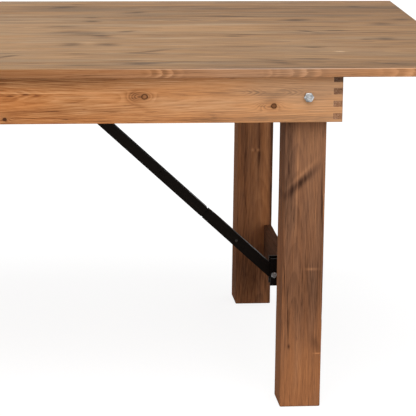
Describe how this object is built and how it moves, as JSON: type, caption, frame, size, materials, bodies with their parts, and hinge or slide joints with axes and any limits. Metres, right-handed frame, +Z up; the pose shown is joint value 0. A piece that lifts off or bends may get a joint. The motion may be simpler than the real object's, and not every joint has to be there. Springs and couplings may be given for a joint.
{
  "type": "folding farm table",
  "caption": "Long wooden farm table with a board top, finger-jointed aprons and leg frames that fold in underneath, held open by steel toggle braces.",
  "frame": {"origin": "on the floor under the middle of the top", "axes": "+X along the table, +Y to the rear of the picture's view, +Z up"},
  "size_m": [2.134, 1.016, 0.762],
  "materials": {
    "top_wood": "oiled, weathered grey-brown boards",
    "apron_wood": "oiled orange-brown, smooth planed",
    "leg_wood": "oiled dark brown, sawn and eased",
    "batten_wood": "oiled brown",
    "brace_steel": "near-black brown, satin",
    "zinc": "bright zinc plate"
  },
  "bodies": {
    "table": {"anchor_pins": "brace_steel", "anchor_screws": "brace_steel", "apron_screws": "zinc", "batten_screws": "zinc", "front_apron": "apron_wood", "left_brace_anchor": "brace_steel", "left_end_apron": "apron_wood", "left_inner_batten": "batten_wood", "left_outer_batten": "batten_wood", "pivot_bolts": "zinc", "pivot_nuts": "zinc", "pivot_washers": "zinc", "rear_apron": "apron_wood", "right_brace_anchor": "brace_steel", "right_end_apron": "apron_wood", "right_inner_batten": "batten_wood", "right_outer_batten": "batten_wood", "top_board_01": "top_wood", "top_board_02": "top_wood", "top_board_03": "top_wood", "top_board_04": "top_wood", "top_board_05": "top_wood", "top_board_06": "top_wood", "top_board_07": "top_wood", "top_board_08": "top_wood", "top_board_09": "top_wood", "top_board_10": "top_wood", "top_board_11": "top_wood"},
    "right_leg_frame": {"right_clevis": "brace_steel", "right_clevis_bolt": "zinc", "right_clevis_bushes": "brace_steel", "right_clevis_nut": "zinc", "right_clevis_screws": "brace_steel", "right_front_leg": "leg_wood", "right_rear_leg": "leg_wood", "right_stretcher": "leg_wood"},
    "right_upper_brace": {"right_brace_stop": "brace_steel", "right_elbow_studs": "brace_steel", "right_front_brace_bar": "brace_steel", "right_rear_brace_bar": "brace_steel"},
    "right_lower_brace": {"right_brace_tongue": "brace_steel", "right_foot_channel": "brace_steel", "right_foot_rivet": "brace_steel"},
    "left_leg_frame": {"left_clevis": "brace_steel", "left_clevis_bolt": "zinc", "left_clevis_bushes": "brace_steel", "left_clevis_nut": "zinc", "left_clevis_screws": "brace_steel", "left_front_leg": "leg_wood", "left_rear_leg": "leg_wood", "left_stretcher": "leg_wood"},
    "left_upper_brace": {"left_brace_stop": "brace_steel", "left_elbow_studs": "brace_steel", "left_front_brace_bar": "brace_steel", "left_rear_brace_bar": "brace_steel"},
    "left_lower_brace": {"left_brace_tongue": "brace_steel", "left_foot_channel": "brace_steel", "left_foot_rivet": "brace_steel"}
  },
  "joints": [
    {"name": "right_leg_hinge", "type": "hinge", "parent": "table", "child": "right_leg_frame", "pos_m": [0.7095, 0, 0.6965], "axis": [0, 1, 0], "range_deg": [0, 90]},
    {"name": "right_anchor_hinge", "type": "hinge", "parent": "table", "child": "right_upper_brace", "pos_m": [0.143, 0.06, 0.689], "axis": [0, 1, 0], "range_deg": [-42.39, 0]},
    {"name": "right_foot_hinge", "type": "hinge", "parent": "right_leg_frame", "child": "right_lower_brace", "pos_m": [0.717, 0.06, 0.165], "axis": [0, 1, 0], "range_deg": [0, 47.61]},
    {"name": "left_leg_hinge", "type": "hinge", "parent": "table", "child": "left_leg_frame", "pos_m": [-0.7095, 0, 0.6965], "axis": [0, -1, 0], "range_deg": [0, 90]},
    {"name": "left_anchor_hinge", "type": "hinge", "parent": "table", "child": "left_upper_brace", "pos_m": [-0.143, -0.06, 0.689], "axis": [0, -1, 0], "range_deg": [-42.39, 0]},
    {"name": "left_foot_hinge", "type": "hinge", "parent": "left_leg_frame", "child": "left_lower_brace", "pos_m": [-0.717, -0.06, 0.165], "axis": [0, -1, 0], "range_deg": [0, 47.61]}
  ],
  "couplings": [
    {"joint": "right_anchor_hinge", "follows": "right_leg_hinge", "ratio": -0.47103},
    {"joint": "right_foot_hinge", "follows": "right_leg_hinge", "ratio": 0.52897},
    {"joint": "left_anchor_hinge", "follows": "left_leg_hinge", "ratio": -0.47103},
    {"joint": "left_foot_hinge", "follows": "left_leg_hinge", "ratio": 0.52897}
  ]
}
